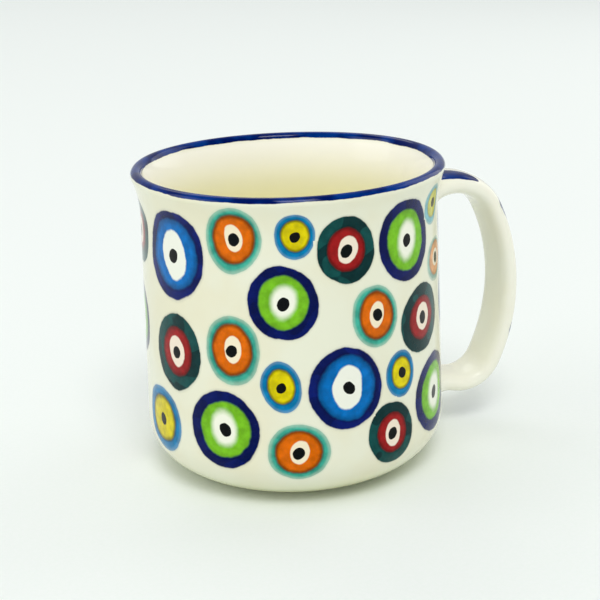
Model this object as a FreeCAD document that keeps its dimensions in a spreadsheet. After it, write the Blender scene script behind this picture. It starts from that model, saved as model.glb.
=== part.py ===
import FreeCAD, Part
import math
import os

import Sketcher
from FreeCAD import Vector

# A stoneware camping mug. Z points up along the cup's axis, the foot stands on Z = 0
# and the handle points along +X. Lengths are in millimetres and angles in degrees.

SIZES = [
    ("mug_height", 91.0, "table to the top of the lip"),
    ("rim_radius", 46.0, "widest point of the lip"),
    ("bead_radius", 1.7, "round nose of the lip"),
    ("flare_radius", 30.0, "hollow curve under the lip, outside"),
    ("waist_radius", 43.8, "outer wall where the flare starts"),
    ("belly_radius", 45.3, "outer wall just above the bottom corner"),
    ("corner_radius", 14.0, "rounded bottom corner, outside"),
    ("foot_height", 1.0, "foot ring below the corner's lowest point"),
    ("foot_outer_radius", 32.2, "outside of the foot ring"),
    ("foot_inner_radius", 28.6, "inside of the foot ring, where it stands"),
    ("foot_bevel", 1.3, "slope inside the foot ring"),
    ("recess_depth", 1.6, "hollow under the floor"),
    ("floor_height", 6.0, "table to the inside of the floor"),
    ("well_radius", 40.8, "inner wall just above the inner corner"),
    ("well_corner_radius", 11.0, "rounded inner corner"),
    ("throat_radius", 39.9, "inner wall where the inner flare starts"),
    ("throat_flare_radius", 34.0, "flare under the lip, inside"),
    ("band_thickness", 0.2, "coat of cobalt over the lip"),
    ("band_outside_drop", 1.35, "top of the lip to the coat's lower edge, outside"),
    ("band_inside_drop", 0.9, "top of the lip to the coat's lower edge, inside"),
    ("strap_width", 16.0, "handle, across"),
    ("strap_thickness", 6.6, "handle, wall side to outer side"),
    ("strap_edge_radius", 2.6, "rounding of the strap's two edges"),
    ("strap_top", 79.3, "centre line of the upper run"),
    ("strap_bottom", 13.7, "centre line of the lower run"),
    ("strap_reach", 71.35, "centre line's farthest point from the axis"),
    ("strap_widest", 45.2, "height of that point"),
    ("shoulder_radius", 14.8, "upper bend"),
    ("back_radius", 58.0, "long bend between the two"),
    ("heel_radius", 11.0, "lower bend"),
    ("strap_start", 38.0, "the sweep's two ends, inside the wall, before it is trimmed"),
    ("slip_depth", 2.6, "how far inside the wall a collar starts, before it is trimmed"),
    ("slip_spread", 3.4, "how far a collar stands round the strap at its root"),
    ("slip_waist_reach", 1.2, "wall to the collar's middle section"),
    ("slip_waist_spread", 1.3, "how far it stands round the strap there"),
    ("slip_reach", 3.8, "wall to the collar's outer end"),
    ("slip_end_spread", 0.35, "how far it stands round the strap there"),
]
size = {alias: value for alias, value, note in SIZES}

START, END, CENTRE = 1, 2, 3
ORIGIN_POINT = (-1, 1)
HORIZONTAL_AXIS, VERTICAL_AXIS = -1, -2

doc = FreeCAD.newDocument("camping_mug")


def make_sheet():
    sheet = doc.addObject("Spreadsheet::Sheet", "Sizes")
    for row, (alias, value, note) in enumerate(SIZES, start=1):
        sheet.set(f"A{row}", note)
        sheet.set(f"B{row}", str(value))
        sheet.setAlias(f"B{row}", alias)
    doc.recompute()


def bound(expression):
    """The expression with each size's alias pointed at the sheet."""
    words = [f"Sizes.{word}" if word in size else word for word in expression.split()]
    return " ".join(words)


def new_body(name):
    body = doc.addObject("PartDesign::Body", name)
    body.Label = name
    return body


def new_sketch(body, role, name, offset=None):
    """A sketch on one of the body's own origin planes, moved along the plane's normal by an expression."""
    sketch = body.newObject("Sketcher::SketchObject", name)
    plane = next(item for item in body.Origin.OriginFeatures if item.Role == role)
    sketch.AttachmentSupport = [(plane, "")]
    sketch.MapMode = "FlatFace"
    if offset:
        sketch.setExpression("AttachmentOffset.Base.z", bound(offset))
    return sketch


class Outline:
    """Adds lines and arcs to a sketch, joins them and ties their sizes to the sheet."""

    def __init__(self, sketch):
        self.sketch = sketch
        self.count = 0

    def line(self, start, end):
        return self.sketch.addGeometry(Part.LineSegment(Vector(*start, 0), Vector(*end, 0)), False)

    def arc(self, centre, radius, first_degrees, last_degrees):
        circle = Part.Circle(Vector(*centre, 0), Vector(0, 0, 1), radius)
        arc = Part.ArcOfCircle(circle, math.radians(first_degrees), math.radians(last_degrees))
        return self.sketch.addGeometry(arc, False)

    def constrain(self, *what):
        return self.sketch.addConstraint(Sketcher.Constraint(*what))

    def join(self, one, one_end, other, other_end):
        self.constrain("Coincident", one, one_end, other, other_end)

    def join_smoothly(self, one, one_end, other, other_end):
        self.constrain("Tangent", one, one_end, other, other_end)

    def level(self, *lines):
        for one in lines:
            self.constrain("Horizontal", one)

    def upright(self, *lines):
        for one in lines:
            self.constrain("Vertical", one)

    def tie(self, index, expression):
        self.count += 1
        name = f"size_{self.count}"
        self.sketch.renameConstraint(index, name)
        self.sketch.setExpression(f"Constraints.{name}", bound(expression))

    def radius(self, arc, expression):
        self.tie(self.constrain("Radius", arc, self.sketch.Geometry[arc].Radius), expression)

    def across(self, geometry, point, expression):
        """The point's distance from the sketch's origin along X."""
        drawn = self.sketch.getPoint(geometry, point).x
        self.tie(self.constrain("DistanceX", *ORIGIN_POINT, geometry, point, drawn), expression)

    def up(self, geometry, point, expression):
        """The point's distance from the sketch's origin along Y."""
        drawn = self.sketch.getPoint(geometry, point).y
        self.tie(self.constrain("DistanceY", *ORIGIN_POINT, geometry, point, drawn), expression)


def bead_centre():
    return (size["rim_radius"] - size["bead_radius"], size["mug_height"] - size["bead_radius"])


def add_outside(outline):
    """The half-section's outside, from the foot ring up to the lip. Gives its first and last pieces."""
    belly, corner = size["belly_radius"], size["corner_radius"]
    foot_out, base = size["foot_outer_radius"], size["foot_height"] + size["corner_radius"]
    waist, flare, bead = size["waist_radius"], size["flare_radius"], size["bead_radius"]
    lip_x, lip_z = bead_centre()
    flare_x = waist + flare
    flare_angle = math.degrees(math.acos((flare_x - lip_x) / (flare + bead)))
    flare_z = lip_z - (flare + bead) * math.sin(math.radians(flare_angle))
    foot_angle = -math.degrees(math.acos((foot_out - belly + corner) / corner))
    side_top = base + corner * math.sin(math.radians(foot_angle))

    foot_side = outline.line((foot_out, 0), (foot_out, side_top))
    corner_arc = outline.arc((belly - corner, base), corner, foot_angle, 0)
    wall = outline.line((belly, base), (waist, flare_z))
    flare_arc = outline.arc((flare_x, flare_z), flare, 180 - flare_angle, 180)
    bead_arc = outline.arc((lip_x, lip_z), bead, -flare_angle, 90)

    outline.upright(foot_side)
    outline.join(foot_side, END, corner_arc, START)
    outline.join_smoothly(corner_arc, END, wall, START)
    outline.join_smoothly(wall, END, flare_arc, END)
    outline.join_smoothly(flare_arc, START, bead_arc, START)
    outline.constrain("PointOnObject", foot_side, START, HORIZONTAL_AXIS)
    outline.across(foot_side, START, "foot_outer_radius")
    outline.radius(corner_arc, "corner_radius")
    outline.across(corner_arc, CENTRE, "belly_radius - corner_radius")
    outline.up(corner_arc, CENTRE, "foot_height + corner_radius")
    outline.radius(flare_arc, "flare_radius")
    outline.across(flare_arc, CENTRE, "waist_radius + flare_radius")
    outline.radius(bead_arc, "bead_radius")
    outline.across(bead_arc, CENTRE, "rim_radius - bead_radius")
    outline.up(bead_arc, CENTRE, "mug_height - bead_radius")
    return foot_side, bead_arc


def add_inside(outline, bead_arc):
    """The half-section's inside, from the lip down to the floor at the axis. Gives the floor's line."""
    lip_x, lip_z = bead_centre()
    throat, flare, bead = size["throat_radius"], size["throat_flare_radius"], size["bead_radius"]
    well, corner, floor = size["well_radius"], size["well_corner_radius"], size["floor_height"]
    flare_x = throat + flare
    flare_angle = math.degrees(math.acos((flare_x - lip_x) / (flare - bead)))
    flare_z = lip_z - (flare - bead) * math.sin(math.radians(flare_angle))

    flare_arc = outline.arc((flare_x, flare_z), flare, 180 - flare_angle, 180)
    wall = outline.line((throat, flare_z), (well, floor + corner))
    corner_arc = outline.arc((well - corner, floor + corner), corner, -90, 0)
    floor_line = outline.line((well - corner, floor), (0, floor))

    outline.join_smoothly(bead_arc, END, flare_arc, START)
    outline.join_smoothly(flare_arc, END, wall, START)
    outline.join_smoothly(wall, END, corner_arc, END)
    outline.join_smoothly(corner_arc, START, floor_line, START)
    outline.radius(flare_arc, "throat_flare_radius")
    outline.across(flare_arc, CENTRE, "throat_radius + throat_flare_radius")
    outline.radius(corner_arc, "well_corner_radius")
    outline.across(corner_arc, CENTRE, "well_radius - well_corner_radius")
    outline.up(floor_line, END, "floor_height")
    outline.constrain("PointOnObject", floor_line, END, VERTICAL_AXIS)
    return floor_line


def add_underside(outline, foot_side, floor_line):
    """Closes the half-section below: the axis, the recess under the floor and the foot ring's flat face."""
    recess, inner, bevel = size["recess_depth"], size["foot_inner_radius"], size["foot_bevel"]
    axis_line = outline.line((0, size["floor_height"]), (0, recess))
    recess_line = outline.line((0, recess), (inner - bevel, recess))
    slope = outline.line((inner - bevel, recess), (inner, 0))
    foot_face = outline.line((inner, 0), (size["foot_outer_radius"], 0))

    outline.upright(axis_line)
    outline.level(recess_line, foot_face)
    outline.join(floor_line, END, axis_line, START)
    outline.join(axis_line, END, recess_line, START)
    outline.join(recess_line, END, slope, START)
    outline.join(slope, END, foot_face, START)
    outline.join(foot_face, END, foot_side, START)
    outline.up(recess_line, START, "recess_depth")
    outline.across(recess_line, END, "foot_inner_radius - foot_bevel")
    outline.across(foot_face, START, "foot_inner_radius")


def add_band(outline):
    """The cobalt coat's section: a thin arc that follows the lip's nose."""
    centre = bead_centre()
    outer = size["bead_radius"]
    inner = outer - size["band_thickness"]
    first = math.degrees(math.asin((outer - size["band_outside_drop"]) / outer))
    last = 180 - math.degrees(math.asin((outer - size["band_inside_drop"]) / outer))
    outer_arc = outline.arc(centre, outer, first, last)
    inner_arc = outline.arc(centre, inner, first, last)
    outline.join(outer_arc, CENTRE, inner_arc, CENTRE)
    outline.radius(outer_arc, "bead_radius")
    outline.radius(inner_arc, "bead_radius - band_thickness")
    outline.across(outer_arc, CENTRE, "rim_radius - bead_radius")
    outline.up(outer_arc, CENTRE, "mug_height - bead_radius")
    for end, drop in ((START, "band_outside_drop"), (END, "band_inside_drop")):
        outer_point = outline.sketch.getPoint(outer_arc, end)
        inner_point = outline.sketch.getPoint(inner_arc, end)
        edge = outline.line((inner_point.x, inner_point.y), (outer_point.x, outer_point.y))
        spoke = outline.line(centre, (outer_point.x, outer_point.y))
        outline.sketch.toggleConstruction(spoke)
        outline.join(edge, START, inner_arc, end)
        outline.join(edge, END, outer_arc, end)
        outline.join(spoke, START, outer_arc, CENTRE)
        outline.join(spoke, END, outer_arc, end)
        outline.constrain("PointOnObject", inner_arc, end, spoke)
        outline.up(outer_arc, end, f"mug_height - {drop}")


def add_oval(outline, height, spread):
    """An oval of four tangent arcs: the strap's own section, grown all round by a spread."""
    grown = size[spread] if spread in size else 0.0
    wide = size["strap_width"] / 2 + grown
    thick = size["strap_thickness"] / 2 + grown
    edge = size["strap_edge_radius"] + grown
    middle = size[height]
    crown = ((wide - edge) ** 2 + thick**2 - edge**2) / (2 * (thick - edge))
    turn = math.degrees(math.atan2(wide - edge, crown - edge))

    right = outline.arc((wide - edge, middle), edge, turn - 90, 90 - turn)
    top = outline.arc((0, middle + thick - crown), crown, 90 - turn, 90 + turn)
    left = outline.arc((edge - wide, middle), edge, 90 + turn, 270 - turn)
    bottom = outline.arc((0, middle + crown - thick), crown, 270 - turn, 270 + turn)
    spine = outline.line((0, middle - thick), (0, middle + thick))
    outline.sketch.toggleConstruction(spine)

    for one, other in ((right, top), (top, left), (left, bottom), (bottom, right)):
        outline.join_smoothly(one, END, other, START)
    outline.constrain("PointOnObject", spine, START, VERTICAL_AXIS)
    outline.constrain("PointOnObject", spine, END, VERTICAL_AXIS)
    outline.constrain("PointOnObject", spine, START, bottom)
    outline.constrain("PointOnObject", spine, END, top)
    outline.up(spine, START, f"{height} - strap_thickness / 2 - {spread}")
    outline.up(spine, END, f"{height} + strap_thickness / 2 + {spread}")
    right_centre = "strap_width / 2 - strap_edge_radius"
    left_centre = "strap_edge_radius - strap_width / 2"
    for arc, centre in ((right, right_centre), (left, left_centre)):
        outline.radius(arc, f"strap_edge_radius + {spread}")
        outline.across(arc, CENTRE, centre)
        outline.up(arc, CENTRE, height)


def add_strap_path(outline):
    """The strap's centre line, seen from the side: two level runs and three bends between them."""
    start, top, bottom = size["strap_start"], size["strap_top"], size["strap_bottom"]
    shoulder, back, heel = size["shoulder_radius"], size["back_radius"], size["heel_radius"]
    back_centre = (size["strap_reach"] - back, size["strap_widest"])
    shoulder_z, heel_z = top - shoulder, bottom + heel
    upper = math.asin((shoulder_z - back_centre[1]) / (back - shoulder))
    lower = math.asin((back_centre[1] - heel_z) / (back - heel))
    shoulder_x = back_centre[0] + (back - shoulder) * math.cos(upper)
    heel_x = back_centre[0] + (back - heel) * math.cos(lower)
    upper, lower = math.degrees(upper), math.degrees(lower)

    upper_run = outline.line((start, top), (shoulder_x, top))
    shoulder_arc = outline.arc((shoulder_x, shoulder_z), shoulder, upper, 90)
    back_arc = outline.arc(back_centre, back, -lower, upper)
    heel_arc = outline.arc((heel_x, heel_z), heel, -90, -lower)
    lower_run = outline.line((heel_x, bottom), (start, bottom))

    outline.level(upper_run, lower_run)
    outline.join_smoothly(upper_run, END, shoulder_arc, END)
    outline.join_smoothly(shoulder_arc, START, back_arc, END)
    outline.join_smoothly(back_arc, START, heel_arc, END)
    outline.join_smoothly(heel_arc, START, lower_run, START)
    outline.radius(shoulder_arc, "shoulder_radius")
    outline.radius(back_arc, "back_radius")
    outline.radius(heel_arc, "heel_radius")
    outline.across(back_arc, CENTRE, "strap_reach - back_radius")
    outline.up(back_arc, CENTRE, "strap_widest")
    outline.across(upper_run, START, "strap_start")
    outline.up(upper_run, START, "strap_top")
    outline.across(lower_run, END, "strap_start")
    outline.up(lower_run, END, "strap_bottom")


def revolve(body, kind, sketch, name):
    feature = body.newObject(kind, name)
    feature.Profile = sketch
    feature.ReferenceAxis = (sketch, ["V_Axis"])
    feature.Angle = 360.0
    sketch.Visibility = False
    return feature


def make_envelope():
    """The cup's outside as one filled solid. It isn't a part: it trims the pieces that meet the wall."""
    body = new_body("wall_envelope")
    sketch = new_sketch(body, "XZ_Plane", "envelope_section")
    outline = Outline(sketch)
    foot_side, bead_arc = add_outside(outline)
    top_line = outline.line((bead_centre()[0], size["mug_height"]), (0, size["mug_height"]))
    axis_line = outline.line((0, size["mug_height"]), (0, 0))
    foot_line = outline.line((0, 0), (size["foot_outer_radius"], 0))
    outline.upright(axis_line)
    outline.level(foot_line)
    outline.join_smoothly(bead_arc, END, top_line, START)
    outline.level(top_line)
    outline.join(top_line, END, axis_line, START)
    outline.join(axis_line, END, foot_line, START)
    outline.join(foot_line, END, foot_side, START)
    outline.constrain("PointOnObject", axis_line, START, VERTICAL_AXIS)
    revolve(body, "PartDesign::Revolution", sketch, "envelope_turned")
    return body


def make_cup_body():
    """The vessel: foot ring, floor, rounded corner, wall and flared lip, with a seat for the cobalt coat."""
    body = new_body("cup_body")
    sketch = new_sketch(body, "XZ_Plane", "vessel_section")
    outline = Outline(sketch)
    foot_side, bead_arc = add_outside(outline)
    floor_line = add_inside(outline, bead_arc)
    add_underside(outline, foot_side, floor_line)
    revolve(body, "PartDesign::Revolution", sketch, "vessel_turned")
    seat = new_sketch(body, "XZ_Plane", "band_seat_section")
    add_band(Outline(seat))
    revolve(body, "PartDesign::Groove", seat, "band_seat")
    return body


def make_rim_band():
    """The coat of cobalt over the lip."""
    body = new_body("rim_band")
    sketch = new_sketch(body, "XZ_Plane", "band_section")
    add_band(Outline(sketch))
    revolve(body, "PartDesign::Revolution", sketch, "band_turned")
    return body


def make_strap():
    """The handle's strap before its ends are trimmed to the wall."""
    body = new_body("strap")
    path = new_sketch(body, "XZ_Plane", "strap_path")
    add_strap_path(Outline(path))
    section = new_sketch(body, "YZ_Plane", "strap_section", "strap_start")
    add_oval(Outline(section), "strap_top", "0")
    pipe = body.newObject("PartDesign::AdditivePipe", "strap_swept")
    pipe.Profile = section
    pipe.Spine = path
    return body


def make_collar(name, wall, height):
    """A flared collar of slip round the strap's root, before the strap and the wall are cut out of it."""
    body = new_body(f"{name}_collar")
    stations = [
        (f"{wall} - slip_depth", "slip_spread"),
        (f"{wall} + slip_waist_reach", "slip_waist_spread"),
        (f"{wall} + slip_reach", "slip_end_spread"),
    ]
    sections = []
    for number, (offset, spread) in enumerate(stations, start=1):
        section = new_sketch(body, "YZ_Plane", f"{name}_section_{number}", offset)
        add_oval(Outline(section), height, spread)
        sections.append(section)
    loft = body.newObject("PartDesign::AdditiveLoft", f"{name}_loft")
    loft.Profile = sections[0]
    loft.Sections = sections[1:]
    return body


def cut(name, base, tool):
    piece = doc.addObject("Part::Cut", name)
    piece.Base = base
    piece.Tool = tool
    piece.Label = name
    return piece


def check_and_write(parts):
    doc.recompute()
    for item in doc.Objects:
        if {"Invalid", "Error"} & set(item.State):
            raise RuntimeError(f"{item.Label} failed: {item.State}")
    for part in parts:
        if part.Shape.isNull() or not part.Shape.isValid() or len(part.Shape.Solids) != 1:
            raise RuntimeError(f"{part.Label} is not one sound solid")
    os.makedirs("parts", exist_ok=True)
    for part in parts:
        part.Shape.exportStep(f"parts/{part.Label}.step")
        box = part.Shape.optimalBoundingBox()
        print(f"{part.Label}: {part.Shape.Volume / 1000:.2f} cm3, X {box.XMin:.2f} to {box.XMax:.2f},",
              f"Y {box.YMin:.2f} to {box.YMax:.2f}, Z {box.ZMin:.2f} to {box.ZMax:.2f}")


make_sheet()
envelope = make_envelope()
strap = make_strap()
handle = cut("handle", strap, envelope)
upper_collar = make_collar("upper_slip", "waist_radius", "strap_top")
lower_collar = make_collar("lower_slip", "belly_radius", "strap_bottom")
upper_joint_slip = cut("upper_joint_slip", cut("upper_slip_on_wall", upper_collar, envelope), strap)
lower_joint_slip = cut("lower_joint_slip", cut("lower_slip_on_wall", lower_collar, envelope), strap)
check_and_write([make_cup_body(), make_rim_band(), handle, upper_joint_slip, lower_joint_slip])
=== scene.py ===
import math

import bpy
import numpy as np
from mathutils import Matrix, Vector


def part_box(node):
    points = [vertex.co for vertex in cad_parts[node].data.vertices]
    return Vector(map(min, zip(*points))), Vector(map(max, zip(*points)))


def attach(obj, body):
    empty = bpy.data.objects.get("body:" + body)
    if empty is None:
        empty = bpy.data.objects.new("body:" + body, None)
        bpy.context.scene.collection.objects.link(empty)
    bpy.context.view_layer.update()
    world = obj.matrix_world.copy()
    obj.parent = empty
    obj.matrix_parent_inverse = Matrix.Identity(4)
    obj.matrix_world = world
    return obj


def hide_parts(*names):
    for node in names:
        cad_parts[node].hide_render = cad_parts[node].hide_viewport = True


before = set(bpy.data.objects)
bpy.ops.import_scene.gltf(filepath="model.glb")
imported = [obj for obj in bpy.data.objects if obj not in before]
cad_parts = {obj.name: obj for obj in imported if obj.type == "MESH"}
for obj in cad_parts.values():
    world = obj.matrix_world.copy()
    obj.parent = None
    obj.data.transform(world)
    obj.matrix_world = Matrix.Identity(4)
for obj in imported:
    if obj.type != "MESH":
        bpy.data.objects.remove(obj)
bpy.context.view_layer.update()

# A hand-painted stoneware camping mug. Z points up along the cup's axis, the foot stands on Z = 0
# and the handle points along +X. Lengths here are in millimetres, and meshes are written in metres.

MM = 0.001
SEGMENTS = 216

RIM_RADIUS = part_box("cup_body")[1].x / MM
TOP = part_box("rim_band")[1].z / MM
HANDLE_HALF_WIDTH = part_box("handle")[1].y / MM

BEAD_RADIUS = 1.7
FLARE_RADIUS = 30.0
WAIST_RADIUS = 43.8
BELLY_RADIUS = 45.3
CORNER_RADIUS = 14.0
FOOT_HEIGHT = 1.0
FOOT_OUTER = 32.2
FOOT_INNER = 28.6
RECESS = 1.6
FLOOR = 6.0
WELL_RADIUS = 40.8
WELL_CORNER = 11.0
THROAT_RADIUS = 39.9
THROAT_FLARE = 34.0
BEAD_CENTRE = (RIM_RADIUS - BEAD_RADIUS, TOP - BEAD_RADIUS)

# The camera: its place in metres, its lens in millimetres, and its turns in degrees.
EYE = (-0.12674, -0.35521, 0.17307)
LENS = 78.63
HEADING = -20.0
LOOK_DOWN = 18.351
LEAN = -1.782

# The dots are placed on the outside as if it were unrolled: across in millimetres at this radius,
# and up in millimetres along the surface from the foot's outer edge.
UNROLLED_RADIUS = 44.0


# ---------------------------------------------------------------- colours

def srgb(red, green, blue):
    """An 8-bit display colour as the linear colour that shaders use."""
    def linear(value):
        value /= 255
        return value / 12.92 if value <= 0.04045 else ((value + 0.055) / 1.055) ** 2.4
    return (linear(red), linear(green), linear(blue), 1.0)


IVORY = srgb(232, 233, 212)
IVORY_WARM = srgb(230, 227, 200)
# The two creams are the inside's painted bounce light: lighter than the ivory near the lip, yellower
# deeper in the bowl.
CREAM = srgb(254, 252, 242)
BOUNCE_CREAM_PAINTED = srgb(249, 244, 166)
# Painted shade: the outside turns darker and olive low down near the foot, where the floor shades it.
FOOT_SHADE_PAINTED = srgb(208, 212, 164)
COBALT = srgb(10, 52, 128)
COBALT_DEEP = srgb(5, 24, 88)
NAVY = srgb(4, 18, 88)
INK = srgb(11, 11, 14)
BARE_CLAY = srgb(214, 196, 164)

# Each palette: outer ring, middle ring, centre, then four shares: how dark the brush's second pass is,
# how soft the centre's edge, how dark the line where the two rings overlap, how thin the outer edge.
PALETTES = {
    "navy": (srgb(8, 24, 100), srgb(5, 106, 180), srgb(238, 240, 226), (0.55, 0.06, 0.45, 0.0)),
    "leaf": (NAVY, srgb(116, 184, 36), srgb(240, 242, 224), (0.50, 0.42, 0.12, 0.0)),
    "teal": (srgb(64, 168, 146), srgb(214, 102, 8), srgb(242, 230, 200), (0.16, 0.07, 0.75, 0.30)),
    "red": (srgb(16, 72, 70), srgb(150, 24, 26), srgb(240, 226, 206), (0.85, 0.06, 0.55, 0.0)),
    "sky": (srgb(6, 120, 172), srgb(214, 198, 8), srgb(236, 226, 120), (0.20, 0.25, 0.75, 0.12)),
    # The last two palettes are paler copies of sky and teal: painted reflection of the bright room washing
    # out dots at the edge of the view.
    "sky_painted_reflection": (srgb(120, 178, 184), srgb(198, 196, 84), srgb(226, 224, 160), (0.16, 0.25, 0.40, 0.30)),
    "teal_painted_reflection": (srgb(150, 184, 168), srgb(222, 158, 104), srgb(238, 228, 202), (0.16, 0.10, 0.40, 0.40)),
}

# Each palette's rings as shares of the outer one: the middle ring's, then the centre's across and up,
# which are 0 where a dot has no centre of its own.
RING_SHARES = {
    "navy": (0.80, 0.43, 0.54),
    "leaf": (0.73, 0.43, 0.54),
    "teal": (0.76, 0.31, 0.42),
    "red": (0.65, 0.34, 0.42),
    "sky": (0.70, 0.00, 0.00),
    "sky_painted_reflection": (0.71, 0.00, 0.00),
    "teal_painted_reflection": (0.78, 0.37, 0.40),
}

# Palette, azimuth in degrees, height up the outside, half width, half height, lean to the left in degrees.
FRONT_DOTS = [
    ("navy", -157, 79, 11.5, 13, -15),
    ("teal", -130, 86, 8, 9.5, -12),
    ("sky", -108, 87, 5.5, 6.5, 0),
    ("leaf", -113, 68.5, 9.5, 10.5, 18),
    ("red", -89.5, 82, 8.5, 9.5, 18),
    ("leaf", -62.5, 81, 10.5, 12, 18),
    # These two dots near the edge of the view take the paler palettes: painted reflection over their
    # paint.
    ("sky_painted_reflection", -43, 88, 5.5, 6, 0),
    ("teal_painted_reflection", -39, 71, 7, 6.5, 0),
    ("teal", -78.5, 62, 7.5, 9, 12),
    ("red", -53.5, 56.5, 10, 10, 0),
    ("red", -157.5, 50.5, 9.5, 11.5, -6),
    ("teal", -132, 54.5, 8, 10, 0),
    ("sky", -114.5, 44.5, 5.5, 7.5, 10),
    ("navy", -91, 42.5, 10.5, 12, 10),
    ("sky", -67.5, 43, 5.5, 7, 5),
    ("leaf", -44.5, 31.5, 11.5, 12, 0),
    ("red", -72.5, 26, 8, 9.5, 5),
    ("teal", -109, 25, 8.5, 8.5, 20),
    ("leaf", -136.5, 30.5, 10.5, 11.5, -4),
    ("sky", -169, 27.5, 9.5, 10, 0),
    ("red", -188, 81, 9.5, 9.5, 0),
    ("leaf", -192, 54, 9.5, 11, 0),
    ("navy", -24, 79.5, 5.5, 7, 0),
    ("navy", -22.5, 57, 8.5, 10.5, 0),
]

# Palette, azimuth, height, half width, half height, lean: the dots of the side that faces away.
BACK_DOTS = [
    ("teal", 23.6, 79.6, 7.6, 8.6, 8),
    ("red", 49.5, 84.6, 8.2, 9.0, 14),
    ("sky", 71.8, 87.2, 5.4, 6.6, -6),
    ("navy", 66.4, 67.6, 9.6, 10.6, -12),
    ("teal", 91.6, 81.4, 8.4, 9.3, -10),
    ("navy", 118.6, 79.6, 10.6, 11.6, -15),
    ("sky", 139.9, 87.0, 5.4, 6.2, 0),
    ("red", 145.0, 70.0, 7.4, 7.8, 10),
    ("red", 102.0, 61.4, 7.4, 8.9, -8),
    ("leaf", 127.6, 53.8, 9.8, 10.6, 12),
    ("leaf", 23.4, 52.4, 10.6, 11.6, 6),
    ("red", 46.8, 52.2, 7.6, 9.6, -4),
    ("sky", 84.6, 49.0, 5.6, 6.8, -10),
    ("leaf", 65.2, 42.6, 7.6, 8.6, 10),
    ("navy", 89.8, 31.6, 8.6, 9.6, -10),
    ("sky", 107.6, 41.4, 5.4, 6.4, 5),
    ("navy", 146.4, 36.4, 8.8, 9.8, 8),
    ("teal", 119.6, 25.4, 8.6, 9.2, 12),
    ("red", 68.2, 21.6, 7.8, 8.4, -14),
    ("teal", 44.0, 28.6, 9.2, 10.0, 6),
    ("sky", 2.0, 37.6, 5.6, 6.6, 8),
    ("sky", 23.0, 27.4, 5.4, 6.4, -12),
    ("teal", 159.5, 19.5, 6.4, 7.0, 10),
]

# Brush strokes on the handle's outer face: place along the strap from its upper root and across it,
# half length, half width and slant in degrees.
STROKES = [
    (7.2, -3.2, 9.4, 3.5, -24),
    (27.8, -3.4, 6.6, 4.3, -10),
    (47.0, 0.4, 7.4, 4.2, -24),
    (67.4, -3.2, 5.6, 4.6, -10),
    (87.4, 0.6, 7.0, 4.2, -24),
]

# The strap's centre line: three bends, each running into the next, and a root at each end. The strap
# widens towards a point UPPER_ROOT from its first and LOWER_ROOT from its last, both near the wall's skin.
STRAP_TOP = 79.3
STRAP_BOTTOM = 13.7
STRAP_REACH = 71.35
STRAP_WIDEST = 45.2
SHOULDER_RADIUS = 14.8
BACK_RADIUS = 58.0
HEEL_RADIUS = 11.0
UPPER_ROOT_ANGLE = 138
LOWER_ROOT_SLOPE = 12
ROOT_START = 41.0
UPPER_ROOT = 3.0
LOWER_ROOT = 4.4
HALF_THICKNESS = 3.25


# ---------------------------------------------------------------- outlines turned about the axis

def arc(centre, radius, first, last, step):
    """Points along an arc from one angle to another, both included."""
    count = max(3, round(abs(math.radians(last - first)) * radius / step))
    angles = np.radians(np.linspace(first, last, count + 1))
    return np.stack([centre[0] + radius * np.cos(angles), centre[1] + radius * np.sin(angles)], axis=1)


def straight(start, end, step):
    """Points along a line from one end to the other, both included."""
    count = max(1, round(math.dist(start, end) / step))
    share = np.linspace(0, 1, count + 1)[:, None]
    return np.array(start, float) * (1 - share) + np.array(end, float) * share


def joined(*runs):
    """Runs of points end to end, without the points they share."""
    points = [runs[0]]
    for run in runs[1:]:
        points.append(run[1:])
    return np.concatenate(points)


def travelled(points):
    """Distance along the points from the first one."""
    steps = np.hypot(*np.diff(points, axis=0).T)
    return np.concatenate([[0.0], np.cumsum(steps)])


def flare_start(bend_radius, wall_radius, bead_side):
    """Angle on the flare where it meets the lip's round nose, and the height of the flare's centre."""
    centre_x = wall_radius + bend_radius
    reach = bend_radius + bead_side * BEAD_RADIUS
    angle = math.degrees(math.acos((centre_x - BEAD_CENTRE[0]) / reach))
    return angle, BEAD_CENTRE[1] - reach * math.sin(math.radians(angle))


def outside_points(step):
    """From the foot's outer edge up the outside to the lip's crown."""
    corner_centre = (BELLY_RADIUS - CORNER_RADIUS, FOOT_HEIGHT + CORNER_RADIUS)
    foot_angle = math.degrees(math.acos((FOOT_OUTER - corner_centre[0]) / CORNER_RADIUS))
    foot_top = corner_centre[1] - CORNER_RADIUS * math.sin(math.radians(foot_angle))
    flare_angle, flare_z = flare_start(FLARE_RADIUS, WAIST_RADIUS, 1)
    flare_centre = (WAIST_RADIUS + FLARE_RADIUS, flare_z)
    return joined(
        straight((FOOT_OUTER, 0.35), (FOOT_OUTER, foot_top), 0.5),
        arc(corner_centre, CORNER_RADIUS, -foot_angle, 0, step),
        straight((BELLY_RADIUS, corner_centre[1]), (WAIST_RADIUS, flare_z), step),
        arc(flare_centre, FLARE_RADIUS, 180, 180 - flare_angle, step),
        arc(BEAD_CENTRE, BEAD_RADIUS, -flare_angle, 90, 0.28),
    )


def inside_points(step):
    """From the lip's crown down the inside to the middle of the floor."""
    flare_angle, flare_z = flare_start(THROAT_FLARE, THROAT_RADIUS, -1)
    flare_centre = (THROAT_RADIUS + THROAT_FLARE, flare_z)
    well_centre = (WELL_RADIUS - WELL_CORNER, FLOOR + WELL_CORNER)
    return joined(
        arc(BEAD_CENTRE, BEAD_RADIUS, 90, 180 - flare_angle, 0.28),
        arc(flare_centre, THROAT_FLARE, 180 - flare_angle, 180, step),
        straight((THROAT_RADIUS, flare_z), (WELL_RADIUS, well_centre[1]), step),
        arc(well_centre, WELL_CORNER, 0, -90, step),
        straight((well_centre[0], FLOOR), (0.8, FLOOR), 2.2),
    )


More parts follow.
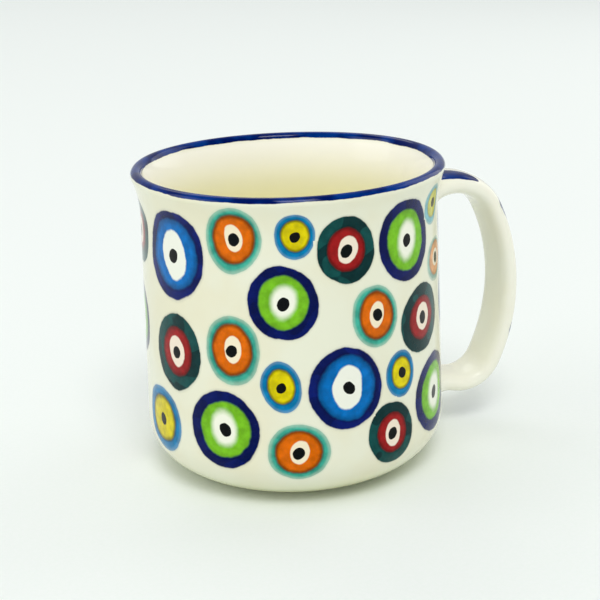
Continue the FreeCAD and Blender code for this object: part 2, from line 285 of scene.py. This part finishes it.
def underside_points():
    """From near the middle of the recess out to the foot's outer edge, with the ring's edges eased."""
    return joined(
        straight((0.8, RECESS), (FOOT_INNER - 1.5, RECESS), 2.2),
        np.array([
            (FOOT_INNER - 1.5, RECESS), (FOOT_INNER - 0.9, RECESS - 0.35), (FOOT_INNER - 0.1, 0.25),
            (FOOT_INNER + 0.4, 0.0), (FOOT_OUTER - 0.4, 0.0), (FOOT_OUTER - 0.1, 0.12), (FOOT_OUTER, 0.35),
        ]),
    )


def formed(azimuth, radius, height):
    """A point of the outline as the hand left it: a little out of round, the lip a little uneven."""
    share = np.clip(height / TOP, 0, 1)
    out = 0.16 * np.sin(2 * azimuth + 0.6) + 0.08 * np.sin(3 * azimuth + 2.1)
    out = out + 0.05 * np.sin(5 * azimuth + height / 15)
    lift = 0.14 * np.sin(2 * azimuth + 1.9) + 0.07 * np.sin(3 * azimuth + 0.4)
    full = radius + out * share * np.clip(radius / 20, 0, 1)
    return np.stack([full * np.cos(azimuth), full * np.sin(azimuth), height + lift * share**4], axis=-1)


def new_piece(name, points, faces, materials, body="root"):
    """A mesh object from points in millimetres, riding on a body."""
    mesh = bpy.data.meshes.new(name)
    mesh.from_pydata((points * MM).tolist(), [], faces)
    mesh.validate()
    mesh.polygons.foreach_set("use_smooth", [True] * len(mesh.polygons))
    for material in materials:
        mesh.materials.append(material)
    piece = bpy.data.objects.new(name, mesh)
    bpy.context.scene.collection.objects.link(piece)
    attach(piece, body)
    return piece


def turned_rings(outline):
    """All the points of an outline turned about the axis, ring by ring."""
    azimuths = np.linspace(-math.pi, math.pi, SEGMENTS, endpoint=False)
    rings = [formed(azimuths, radius, height) for radius, height in outline]
    return np.concatenate(rings)


def quads_between_rings(first_ring, last_ring, closed=False):
    """Faces between neighbouring rings, and from the last back to the first where the outline closes."""
    faces = []
    count = last_ring - first_ring + 1
    for ring in range(count if closed else count - 1):
        low = (first_ring + ring) * SEGMENTS
        high = (first_ring + (ring + 1) % count) * SEGMENTS
        for segment in range(SEGMENTS):
            after = (segment + 1) % SEGMENTS
            faces.append((low + segment, low + after, high + after, high + segment))
    return faces


def write_values(mesh, name, kind, domain, values):
    """Stores numbers on a mesh for its material to read."""
    attribute = mesh.attributes.new(name, kind, domain)
    field = {"FLOAT": "value", "FLOAT_VECTOR": "vector", "FLOAT_COLOR": "color"}[kind]
    attribute.data.foreach_set(field, np.asarray(values, np.float32).ravel())


# ---------------------------------------------------------------- the painted dots, as numbers on the mesh

# An oval too small to show, for a dot without a centre.
NOWHERE = (0.0, 0.0, 0.01, 0.01, 0.0)


def ringed_dot(palette, azimuth, height, half_width, half_height, lean):
    """A dot with its rings in its palette's shares, each set a little off centre as the brush left it."""
    middle_share, centre_across, centre_up = RING_SHARES[palette]
    sway = math.sin(azimuth + height)
    middle = (0.2 + 0.2 * sway, 0.2, half_width * middle_share, half_height * middle_share, lean * 0.8)
    centre = (0.3, 0.3 + 0.2 * sway, half_width * centre_across, half_height * centre_up, -lean * 0.6)
    pupil_size = 1.1 + 0.05 * half_width
    pupil = (0.3 + 0.4 * sway, 0.3 * sway, pupil_size, pupil_size * 1.2, 40 * sway)
    if not centre_across:
        centre = None
    return (palette, azimuth, height, (half_width, half_height, lean), middle, centre, pupil)


def ring_coordinates(across, up, ring):
    """Place in a leaning oval: 1 on its edge, less inside."""
    offset_across, offset_up, half_width, half_height, lean = ring
    turn = math.radians(lean)
    across = across - offset_across
    up = up - offset_up
    sideways = (across * math.cos(turn) + up * math.sin(turn)) / half_width
    lengthways = (up * math.cos(turn) - across * math.sin(turn)) / half_height
    return sideways, lengthways


def write_dots(mesh, heights_up):
    """Gives every face its nearest dot, and its corners their places in that dot's rings."""
    dots = [ringed_dot(*row) for row in FRONT_DOTS + BACK_DOTS]
    loops = len(mesh.loops)
    vertex = np.zeros(loops, int)
    mesh.loops.foreach_get("vertex_index", vertex)
    place = np.zeros(len(mesh.vertices) * 3)
    mesh.vertices.foreach_get("co", place)
    place = place.reshape(-1, 3)
    azimuth = np.arctan2(place[:, 1], place[:, 0])[vertex]
    up = heights_up[vertex]

    total = np.zeros(len(mesh.polygons), int)
    mesh.polygons.foreach_get("loop_total", total)
    face_of_loop = np.repeat(np.arange(len(total)), total)
    middle_x = np.bincount(face_of_loop, np.cos(azimuth))
    middle_y = np.bincount(face_of_loop, np.sin(azimuth))
    face_azimuth = np.arctan2(middle_y, middle_x)
    face_up = np.bincount(face_of_loop, up) / total

    def offsets(azimuths, ups, dot):
        turn = azimuths - math.radians(dot[1])
        turn = (turn + math.pi) % (2 * math.pi) - math.pi
        return turn * UNROLLED_RADIUS, ups - dot[2]

    distance = []
    for dot in dots:
        sideways, lengthways = ring_coordinates(*offsets(face_azimuth, face_up, dot), (0, 0, *dot[3]))
        distance.append(np.hypot(sideways, lengthways))
    nearest = np.argmin(distance, axis=0)[face_of_loop]

    ring_names = ("outer_ring", "middle_ring", "centre_ring", "pupil")
    rings = {name: np.full((loops, 3), 9.0) for name in ring_names}
    paints = {name: np.ones((loops, 4)) for name in ("outer_paint", "middle_paint", "centre_paint")}
    traits = np.zeros((loops, 4))
    for number, dot in enumerate(dots):
        mine = nearest == number
        across, height = offsets(azimuth[mine], up[mine], dot)
        ovals = ((0, 0, *dot[3]), dot[4], dot[5] or NOWHERE, dot[6])
        for name, oval in zip(rings, ovals):
            sideways, lengthways = ring_coordinates(across, height, oval)
            rings[name][mine, 0] = sideways
            rings[name][mine, 1] = lengthways
            rings[name][mine, 2] = number
        palette = PALETTES[dot[0]]
        for name, colour in zip(paints, palette):
            paints[name][mine] = colour
        traits[mine] = palette[3]
    for name, values in rings.items():
        write_values(mesh, name, "FLOAT_VECTOR", "CORNER", values)
    for name, values in paints.items():
        write_values(mesh, name, "FLOAT_COLOR", "CORNER", values)
    write_values(mesh, "paint_traits", "FLOAT_COLOR", "CORNER", traits)


# ---------------------------------------------------------------- materials

class Nodes:
    """Builds a material's node tree. Each call adds a node and gives its output."""

    def __init__(self, name):
        self.material = bpy.data.materials.new(name)
        self.material.use_nodes = True
        self.tree = self.material.node_tree
        self.shader = self.tree.nodes["Principled BSDF"]
        coordinates = self.tree.nodes.new("ShaderNodeTexCoord")
        self.place = coordinates.outputs["Object"]

    def feed(self, socket, value):
        if isinstance(value, bpy.types.NodeSocket):
            self.tree.links.new(value, socket)
        else:
            socket.default_value = value

    def maths(self, operation, *values):
        node = self.tree.nodes.new("ShaderNodeMath")
        node.operation = operation
        for socket, value in zip(node.inputs, values):
            self.feed(socket, value)
        return node.outputs[0]

    def mix(self, share, first, second, blend="MIX"):
        node = self.tree.nodes.new("ShaderNodeMix")
        node.data_type = "RGBA"
        node.blend_type = blend
        self.feed(node.inputs[0], share)
        self.feed(node.inputs[6], first)
        self.feed(node.inputs[7], second)
        return node.outputs[2]

    def ramp(self, value, start, end, low=0.0, high=1.0):
        """A smooth step: low up to start, high from end on."""
        node = self.tree.nodes.new("ShaderNodeMapRange")
        node.interpolation_type = "SMOOTHSTEP"
        for socket, number in zip(node.inputs, (value, start, end, low, high)):
            self.feed(socket, number)
        return node.outputs[0]

    def noise(self, per_metre, detail=2.0, stretch=None):
        """Noise of this many cells to the metre, as its value and as three separate channels."""
        node = self.tree.nodes.new("ShaderNodeTexNoise")
        place = self.place
        if stretch:
            mapping = self.tree.nodes.new("ShaderNodeMapping")
            mapping.inputs["Scale"].default_value = stretch
            self.tree.links.new(place, mapping.inputs["Vector"])
            place = mapping.outputs[0]
        self.tree.links.new(place, node.inputs["Vector"])
        node.inputs["Scale"].default_value = per_metre
        node.inputs["Detail"].default_value = detail
        channels = self.tree.nodes.new("ShaderNodeSeparateColor")
        self.tree.links.new(node.outputs["Color"], channels.inputs[0])
        return node.outputs["Fac"], channels.outputs

    def attribute(self, name, output="Vector"):
        node = self.tree.nodes.new("ShaderNodeAttribute")
        node.attribute_name = name
        return node.outputs[output]

    def split(self, vector):
        node = self.tree.nodes.new("ShaderNodeSeparateXYZ")
        self.tree.links.new(vector, node.inputs[0])
        return node.outputs

    def reach(self, name):
        """Distance from an oval's middle, 1 at its edge."""
        parts = self.split(self.attribute(name))
        across = self.maths("MULTIPLY", parts[0], parts[0])
        up = self.maths("MULTIPLY", parts[1], parts[1])
        return self.maths("SQRT", self.maths("ADD", across, up))

    def bump(self, height, distance, strength=1.0, normal=None):
        node = self.tree.nodes.new("ShaderNodeBump")
        node.inputs["Distance"].default_value = distance
        node.inputs["Strength"].default_value = strength
        self.feed(node.inputs["Height"], height)
        if normal:
            self.tree.links.new(normal, node.inputs["Normal"])
        return node.outputs[0]

    def finish(self, colour, roughness, normal):
        self.feed(self.shader.inputs["Base Color"], colour)
        self.feed(self.shader.inputs["Roughness"], roughness)
        self.feed(self.shader.inputs["Normal"], normal)
        self.shader.inputs["IOR"].default_value = 1.5
        self.shader.inputs["Specular IOR Level"].default_value = 0.28
        return self.material


def glaze_surface(nodes, paint_height=None):
    """Roughness and normal of the clear glaze: slow waves and a fine orange peel."""
    waves, _ = nodes.noise(70, 1.0)
    peel, _ = nodes.noise(1100, 1.0)
    normal = nodes.bump(waves, 0.0002, 0.5)
    normal = nodes.bump(peel, 0.00001, 0.5, normal)
    if paint_height is not None:
        normal = nodes.bump(paint_height, 0.00006, 0.6, normal)
    cloud, _ = nodes.noise(160, 2.0)
    roughness = nodes.ramp(cloud, 0.3, 0.7, 0.06, 0.12)
    return roughness, normal


def ivory_body(nodes):
    """The clay's own colour through the glaze, a little warmer where the glaze pools."""
    cloud, _ = nodes.noise(45, 3.0)
    return nodes.mix(nodes.ramp(cloud, 0.35, 0.7), IVORY, IVORY_WARM)


def cobalt_coat(nodes):
    """Brushed cobalt: deep where the brush was full, paler in its streaks."""
    streaks, _ = nodes.noise(130, 2.0, (1, 1, 2.5))
    return nodes.mix(nodes.ramp(streaks, 0.36, 0.66), COBALT_DEEP, COBALT)


def lip_coat(nodes, fine):
    """1 where the cobalt covers the lip: its edges wander as a brush's do."""
    drop = nodes.attribute("lip_drop", "Fac")
    _, channels = nodes.noise(75, 2.0)
    wander = nodes.maths("MULTIPLY", nodes.maths("SUBTRACT", channels[0], 0.5), 1.1)
    ragged = nodes.maths("MULTIPLY", nodes.maths("SUBTRACT", fine, 0.5), 0.25)
    edge = nodes.maths("ADD", nodes.maths("ADD", drop, wander), ragged)
    outside = nodes.ramp(edge, 2.0, 2.2, 1.0, 0.0)
    inside = nodes.ramp(edge, -2.7, -2.45, 0.0, 1.0)
    return nodes.maths("MULTIPLY", outside, inside)


def painted_ware():
    """Clear glaze over ivory clay, with the painted dots outside and the cobalt lip; the inside is lighter
    and yellower deeper down as painted bounce light, and the outside darker and olive near the foot as
    painted shade.
    """
    nodes = Nodes("painted_ware")
    ivory = ivory_body(nodes)
    inside = nodes.attribute("inside", "Fac")
    # Painted bounce light: the inside is lighter than the outside and turns yellower the deeper it goes.
    deep = nodes.mix(nodes.ramp(inside, 3.0, 44.0), CREAM, BOUNCE_CREAM_PAINTED)
    ground = nodes.mix(nodes.ramp(inside, 1.0, 4.0), ivory, deep)
    # Painted shade: darker and olive low on the outside near the foot.
    low_down = nodes.ramp(nodes.attribute("height_up", "Fac"), 4.0, 17.0, 0.85, 0.0)
    foot_shade = nodes.maths("MULTIPLY", low_down, nodes.ramp(inside, 0.0, 1.0, 1.0, 0.0))
    ground = nodes.mix(foot_shade, ground, FOOT_SHADE_PAINTED)

    _, lumps = nodes.noise(125, 1.0)
    _, rags = nodes.noise(650, 1.0)
    second_darkness, softness, overlap_darkness = nodes.split(nodes.attribute("paint_traits"))
    edge_thinness = nodes.attribute("paint_traits", "Alpha")

    def edge_distance(name, channel, lump, rag):
        wander = nodes.maths("MULTIPLY", nodes.maths("SUBTRACT", lumps[channel], 0.5), lump)
        ragged = nodes.maths("MULTIPLY", nodes.maths("SUBTRACT", rags[channel], 0.5), rag)
        return nodes.maths("ADD", nodes.maths("ADD", nodes.reach(name), wander), ragged)

    outer = edge_distance("outer_ring", 0, 0.13, 0.03)
    middle = edge_distance("middle_ring", 1, 0.18, 0.06)
    centre = edge_distance("centre_ring", 2, 0.34, 0.10)
    pupil = edge_distance("pupil", 1, 0.50, 0.26)

    brush, _ = nodes.noise(420, 3.0)
    second_pass = nodes.maths("MULTIPLY", nodes.ramp(lumps[2], 0.50, 0.53), second_darkness)
    thinness = nodes.ramp(brush, 0.25, 0.75, 0.8, 1.18)
    outer_paint = nodes.mix(1.0, nodes.attribute("outer_paint", "Color"), thinness, "MULTIPLY")
    darker_paint = nodes.mix(1.0, outer_paint, (0.34, 0.34, 0.40, 1), "MULTIPLY")
    outer_paint = nodes.mix(second_pass, outer_paint, darker_paint)
    middle_paint = nodes.mix(1.0, nodes.attribute("middle_paint", "Color"), thinness, "MULTIPLY")

    halo = nodes.maths("MULTIPLY", nodes.ramp(outer, 1.0, 1.09, 1.0, 0.0), 0.16)
    colour = nodes.mix(halo, ground, nodes.attribute("outer_paint", "Color"))
    outer_mask = nodes.ramp(outer, 0.985, 1.02, 1.0, 0.0)
    thin = nodes.maths("MULTIPLY", nodes.ramp(outer, 0.85, 0.98), edge_thinness)
    outer_paint = nodes.mix(thin, outer_paint, ground)
    colour = nodes.mix(outer_mask, colour, outer_paint)
    middle_mask = nodes.ramp(middle, 0.93, 1.04, 1.0, 0.0)
    colour = nodes.mix(middle_mask, colour, middle_paint)
    overlap_end = nodes.ramp(middle, 0.98, 1.12, 1.0, 0.0)
    overlap = nodes.maths("MULTIPLY", nodes.ramp(middle, 0.78, 0.96), overlap_end)
    shade = nodes.maths("MULTIPLY", overlap, overlap_darkness)
    colour = nodes.mix(shade, colour, nodes.mix(1.0, colour, (0.16, 0.16, 0.16, 1), "MULTIPLY"))
    soft_start = nodes.maths("SUBTRACT", 1.0, softness)
    centre_mask = nodes.ramp(centre, soft_start, 1.05, 1.0, 0.0)
    colour = nodes.mix(centre_mask, colour, nodes.attribute("centre_paint", "Color"))
    pupil_mask = nodes.ramp(pupil, 0.96, 1.06, 1.0, 0.0)
    colour = nodes.mix(pupil_mask, colour, INK)

    lip = lip_coat(nodes, rags[0])
    colour = nodes.mix(lip, colour, cobalt_coat(nodes))
    painted = nodes.maths("MAXIMUM", nodes.maths("MAXIMUM", outer_mask, pupil_mask), lip)
    roughness, normal = glaze_surface(nodes, painted)
    return nodes.finish(colour, roughness, normal)


def lip_cobalt():
    """The cobalt coat over the lip, under the same clear glaze."""
    nodes = Nodes("lip_cobalt")
    roughness, normal = glaze_surface(nodes)
    return nodes.finish(cobalt_coat(nodes), roughness, normal)


def bare_foot():
    """Unglazed clay on the ring that stands in the kiln."""
    nodes = Nodes("bare_foot")
    grain, _ = nodes.noise(2200, 3.0)
    cloud, _ = nodes.noise(120, 3.0)
    colour = nodes.mix(nodes.ramp(cloud, 0.35, 0.65), BARE_CLAY, srgb(198, 176, 140))
    colour = nodes.mix(nodes.ramp(grain, 0.62, 0.72), colour, srgb(150, 122, 88))
    roughness = nodes.ramp(grain, 0.3, 0.7, 0.7, 0.95)
    return nodes.finish(colour, roughness, nodes.bump(grain, 0.0001, 0.6))


def stroked_handle():
    """Clear glaze over ivory clay, with leaf-shaped cobalt strokes on the outer face."""
    nodes = Nodes("stroked_handle")
    ivory = nodes.mix(0.5, ivory_body(nodes), CREAM)
    parts = nodes.split(nodes.attribute("stroke"))
    _, lumps = nodes.noise(190, 1.0)
    _, rags = nodes.noise(800, 2.0)
    length = parts[0]
    room = nodes.maths("SUBTRACT", 1.0, nodes.maths("MULTIPLY", length, length))
    room = nodes.maths("MAXIMUM", room, 0.02)
    lean = nodes.maths("ADD", 1.0, nodes.maths("MULTIPLY", length, -0.3))
    width = nodes.maths("MULTIPLY", nodes.maths("POWER", room, 0.8), lean)
    distance = nodes.maths("DIVIDE", nodes.maths("ABSOLUTE", parts[1]), width)
    wander = nodes.maths("MULTIPLY", nodes.maths("SUBTRACT", lumps[0], 0.5), 0.35)
    ragged = nodes.maths("MULTIPLY", nodes.maths("SUBTRACT", rags[0], 0.5), 0.08)
    distance = nodes.maths("ADD", nodes.maths("ADD", distance, wander), ragged)
    mask = nodes.ramp(distance, 0.95, 1.05, 1.0, 0.0)
    mask = nodes.maths("MULTIPLY", mask, nodes.ramp(parts[2], -0.35, -0.25))
    within = nodes.ramp(nodes.maths("ABSOLUTE", length), 0.93, 0.99, 1.0, 0.0)
    mask = nodes.maths("MULTIPLY", mask, within)
    colour = nodes.mix(mask, ivory, cobalt_coat(nodes))
    roughness, normal = glaze_surface(nodes, mask)
    return nodes.finish(colour, roughness, normal)


def pale_floor():
    """A matt pale sweep with the faintest grain."""
    nodes = Nodes("pale_floor")
    grain, _ = nodes.noise(900, 2.0)
    colour = nodes.mix(nodes.ramp(grain, 0.3, 0.7), srgb(241, 245, 241), srgb(239, 244, 239))
    return nodes.finish(colour, 0.7, nodes.bump(grain, 0.00002, 0.2))


# ---------------------------------------------------------------- pieces

def make_vessel():
    """The thrown body, closed: underside, foot ring, outside, lip, inside and floor."""
    under = underside_points()
    outside = outside_points(1.0)
    inside = inside_points(1.6)
    outline = joined(under, outside, inside)
    rings = len(outline)
    points = turned_rings(outline)
    faces = quads_between_rings(0, rings - 1)
    bottom = len(points)
    points = np.concatenate([points, [(0, 0, RECESS), (0, 0, FLOOR)]])
    last = (rings - 1) * SEGMENTS
    for segment in range(SEGMENTS):
        after = (segment + 1) % SEGMENTS
        faces.append((bottom, after, segment))
        faces.append((bottom + 1, last + segment, last + after))
    vessel = new_piece("painted_vessel", points, faces, [painted_ware(), bare_foot()])
    mesh = vessel.data

    first_outside = len(under) - 1
    crown = first_outside + len(outside) - 1
    climbed = travelled(outline)
    ring_of = np.concatenate([np.repeat(np.arange(rings), SEGMENTS), [0, rings - 1]])
    height_up = (climbed - climbed[first_outside])[ring_of]
    write_dots(mesh, height_up)
    write_values(mesh, "lip_drop", "FLOAT", "POINT", (climbed[crown] - climbed)[ring_of])
    write_values(mesh, "inside", "FLOAT", "POINT", np.clip(climbed - climbed[crown], 0, None)[ring_of])
    write_values(mesh, "height_up", "FLOAT", "POINT", height_up)

    height = outline[:, 1]
    radius = outline[:, 0]
    for face in mesh.polygons:
        corners = [ring_of[v] for v in face.vertices]
        if all(height[ring] < 0.4 and radius[ring] > FOOT_INNER - 1 for ring in corners):
            face.material_index = 1
    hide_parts("cup_body")
    return vessel


def make_lip_band():
    """The coat of cobalt over the lip: a thin closed skin that dips into the body at both its edges."""
    angles = np.radians(np.concatenate([np.linspace(38, 140, 20), np.linspace(140, 38, 20)]))
    ease = np.sin(np.linspace(0, math.pi, 20)) ** 0.5
    skin = np.concatenate([-0.04 + 0.08 * ease, -0.08 - 0.08 * ease])
    radius = BEAD_CENTRE[0] + (BEAD_RADIUS + skin) * np.cos(angles)
    height = BEAD_CENTRE[1] + (BEAD_RADIUS + skin) * np.sin(angles)
    outline = np.stack([radius, height], axis=1)
    points = turned_rings(outline)
    faces = quads_between_rings(0, len(outline) - 1, closed=True)
    band = new_piece("cobalt_lip", points, faces, [lip_cobalt()])
    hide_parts("rim_band")
    return band


def strap_line(step):
    """The strap's centre line from its upper root round to its lower one, with its tangents."""
    back_centre = (STRAP_REACH - BACK_RADIUS, STRAP_WIDEST)
    shoulder_z, heel_z = STRAP_TOP - SHOULDER_RADIUS, STRAP_BOTTOM + HEEL_RADIUS
    upper = math.asin((shoulder_z - back_centre[1]) / (BACK_RADIUS - SHOULDER_RADIUS))
    lower = math.asin((back_centre[1] - heel_z) / (BACK_RADIUS - HEEL_RADIUS))
    shoulder_x = back_centre[0] + (BACK_RADIUS - SHOULDER_RADIUS) * math.cos(upper)
    heel_x = back_centre[0] + (BACK_RADIUS - HEEL_RADIUS) * math.cos(lower)
    upper, lower, slope = math.degrees(upper), math.degrees(lower), math.radians(LOWER_ROOT_SLOPE)
    heel_end = (heel_x - HEEL_RADIUS * math.sin(slope), heel_z - HEEL_RADIUS * math.cos(slope))
    root_end = (ROOT_START, heel_end[1] + (heel_end[0] - ROOT_START) * math.tan(slope))
    line = joined(
        arc((shoulder_x, shoulder_z), SHOULDER_RADIUS, UPPER_ROOT_ANGLE, upper, step),
        arc(back_centre, BACK_RADIUS, upper, -lower, step),
        arc((heel_x, heel_z), HEEL_RADIUS, -lower, -90 - LOWER_ROOT_SLOPE, step),
        straight(heel_end, root_end, step),
    )
    tangent = np.gradient(line, axis=0)
    tangent /= np.linalg.norm(tangent, axis=1, keepdims=True)
    return line, tangent


def oval_section(count):
    """The strap's cross-section: across and outward, each from -1 to 1, flattened on both faces."""
    angles = np.linspace(0, 2 * math.pi, count, endpoint=False)
    across = np.sign(np.cos(angles)) * np.abs(np.cos(angles)) ** 0.72
    outward = np.sign(np.sin(angles)) * np.abs(np.sin(angles)) ** 0.86
    return across, outward


def make_handle():
    """The pulled strap with its ends worked out into the wall, one closed mesh."""
    line, tangent = strap_line(1.2)
    along = travelled(line)
    length = along[-1]
    outward_way = np.stack([-tangent[:, 1], tangent[:, 0]], axis=1)
    upright = np.stack([np.zeros(len(line)), np.where(line[:, 1] > STRAP_WIDEST, 1.0, -1.0)], axis=1)
    turn = np.clip((50.0 - line[:, 0]) / 6.0, 0, 1)[:, None]
    outward_way = outward_way * (1 - turn) + upright * turn
    outward_way /= np.linalg.norm(outward_way, axis=1, keepdims=True)
    count = 48
    across, outward = oval_section(count)
    lower_root = length - LOWER_ROOT
    near_upper = np.clip(1 - (along - UPPER_ROOT) / 5.2, 0, 1.3) ** 2.2
    near_lower = np.clip(1 - (lower_root - along) / 6.5, 0, 1.35) ** 2.2
    flare = near_upper + near_lower
    half_width = HANDLE_HALF_WIDTH * (0.985 + 0.015 * np.sin(along / 17)) + 2.4 * flare
    half_thick = HALF_THICKNESS + 0.15 * np.sin(along / 11 + 1) + 1.5 * flare
    points = []
    for step in range(len(line)):
        across_mm = across * half_width[step]
        crown = outward * half_thick[step]
        centre = line[step]
        side = outward_way[step]
        outward_x = centre[0] + side[0] * crown
        outward_z = centre[1] + side[1] * crown
        points.append(np.stack([outward_x, across_mm, outward_z], axis=1))
    points = np.concatenate(points)
    faces = []
    for step in range(len(line) - 1):
        low, high = step * count, (step + 1) * count
        for corner in range(count):
            after = (corner + 1) % count
            faces.append((low + corner, high + corner, high + after, low + after))
    last = (len(line) - 1) * count
    faces.append(tuple(range(count)))
    faces.append(tuple(last + corner for corner in reversed(range(count))))
    handle = new_piece("pulled_handle", points, faces, [stroked_handle()])
    write_strokes(handle.data, along, half_width, across, outward, count)
    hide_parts("handle", "upper_joint_slip", "lower_joint_slip")
    return handle


def write_strokes(mesh, along, half_width, across, outward, count):
    """Gives every face of the strap its nearest brush stroke, and its corners their places in it."""
    vertex = np.zeros(len(mesh.loops), int)
    mesh.loops.foreach_get("vertex_index", vertex)
    step, corner = vertex // count, vertex % count
    lengthways = along[step] - along[np.searchsorted(along, UPPER_ROOT)]
    unrolled = np.where(outward >= 0, across * 1.02, np.sign(across) * (1.02 + 0.36 * np.abs(outward)))
    sideways = unrolled[corner] * half_width[step]
    total = np.zeros(len(mesh.polygons), int)
    mesh.polygons.foreach_get("loop_total", total)
    face_of_loop = np.repeat(np.arange(len(total)), total)
    face_along = np.bincount(face_of_loop, lengthways) / total
    distance = [np.abs(face_along - stroke[0]) for stroke in STROKES]
    nearest = np.argmin(distance, axis=0)[face_of_loop]
    values = np.full((len(vertex), 3), 9.0)
    for number, (place, offset, half_length, half_wide, slant) in enumerate(STROKES):
        mine = nearest == number
        turn = math.radians(slant)
        forward = lengthways[mine] - place
        aside = sideways[mine] - offset
        values[mine, 0] = (forward * math.cos(turn) + aside * math.sin(turn)) / half_length
        values[mine, 1] = (aside * math.cos(turn) - forward * math.sin(turn)) / half_wide
        values[mine, 2] = outward[corner[mine]]
    write_values(mesh, "stroke", "FLOAT_VECTOR", "CORNER", values)


def make_floor():
    """A wide flat disc for the mug to stand on, a hair below the foot."""
    ring_metres = [0.05, 0.2, 0.6, 1.5, 4.0, 9.0]
    segments = 64
    level = -0.05
    points = [(0.0, 0.0, level)]
    faces = []
    for number, metres in enumerate(ring_metres):
        radius = metres / MM
        for segment in range(segments):
            angle = 2 * math.pi * segment / segments
            points.append((radius * math.cos(angle), radius * math.sin(angle), level))
            after = (segment + 1) % segments
            if number == 0:
                faces.append((0, 1 + segment, 1 + after))
            else:
                low = 1 + (number - 1) * segments
                high = low + segments
                faces.append((low + segment, high + segment, high + after, low + after))
    mesh = bpy.data.meshes.new("studio_floor")
    mesh.from_pydata((np.array(points) * MM).tolist(), [], faces)
    mesh.materials.append(pale_floor())
    floor = bpy.data.objects.new("studio_floor", mesh)
    bpy.context.scene.collection.objects.link(floor)


# ---------------------------------------------------------------- light and camera

def add_softbox(name, place, target, width, height, power):
    light = bpy.data.lights.new(name, "AREA")
    light.shape = "RECTANGLE"
    light.size = width
    light.size_y = height
    light.energy = power
    lamp = bpy.data.objects.new(name, light)
    aim = Vector(target) - Vector(place)
    lamp.matrix_world = Matrix.Translation(place) @ aim.to_track_quat("-Z", "Y").to_matrix().to_4x4()
    bpy.context.scene.collection.objects.link(lamp)
    return lamp


def light_studio():
    """A pale room that fills from all sides, a key above the front, and soft boxes round about."""
    world = bpy.data.worlds.new("pale_room")
    world.use_nodes = True
    background = world.node_tree.nodes["Background"]
    background.inputs["Color"].default_value = srgb(248, 250, 252)
    background.inputs["Strength"].default_value = 0.64
    bpy.context.scene.world = world
    add_softbox("key_box", (-0.2, -1.25, 2.1), (0, 0, 0.04), 0.95, 0.95, 19)
    add_softbox("back_box", (0.0, 1.6, 1.6), (0, 1.6, 0), 1.2, 1.2, 7)
    add_softbox("left_box", (-1.3, 0.2, 0.6), (0, 0, 0.05), 0.9, 1.0, 4.0)
    add_softbox("right_box", (1.2, 0.3, 0.6), (0, 0, 0.05), 0.9, 1.0, 3.0)
    front_fill = add_softbox("front_fill", (-0.45, -1.7, 0.4), (0, 0, 0.03), 1.4, 0.6, 2.2)
    front_fill.visible_glossy = False


def set_tones():
    """Plain display colours, with the deepest tones let down to black as a studio print has them."""
    view = bpy.context.scene.view_settings
    view.view_transform = "Standard"
    view.use_curve_mapping = True
    deepest = 0.017
    view.curve_mapping.black_level = (deepest, deepest, deepest)
    view.curve_mapping.update()


def add_camera():
    """A long lens from the front left, a little above the lip and leaning not quite two degrees."""
    camera = bpy.data.cameras.new("camera")
    camera.sensor_width = 36
    camera.lens = LENS
    camera.clip_start = 0.01
    eye = bpy.data.objects.new("camera", camera)
    place = Matrix.Translation(EYE)
    turn = Matrix.Rotation(math.radians(HEADING), 4, "Z")
    tip = Matrix.Rotation(math.radians(90 - LOOK_DOWN), 4, "X")
    lean = Matrix.Rotation(math.radians(LEAN), 4, "Z")
    eye.matrix_world = place @ turn @ tip @ lean
    bpy.context.scene.collection.objects.link(eye)
    bpy.context.scene.camera = eye


make_vessel()
make_lip_band()
make_handle()
make_floor()
light_studio()
set_tones()
add_camera()
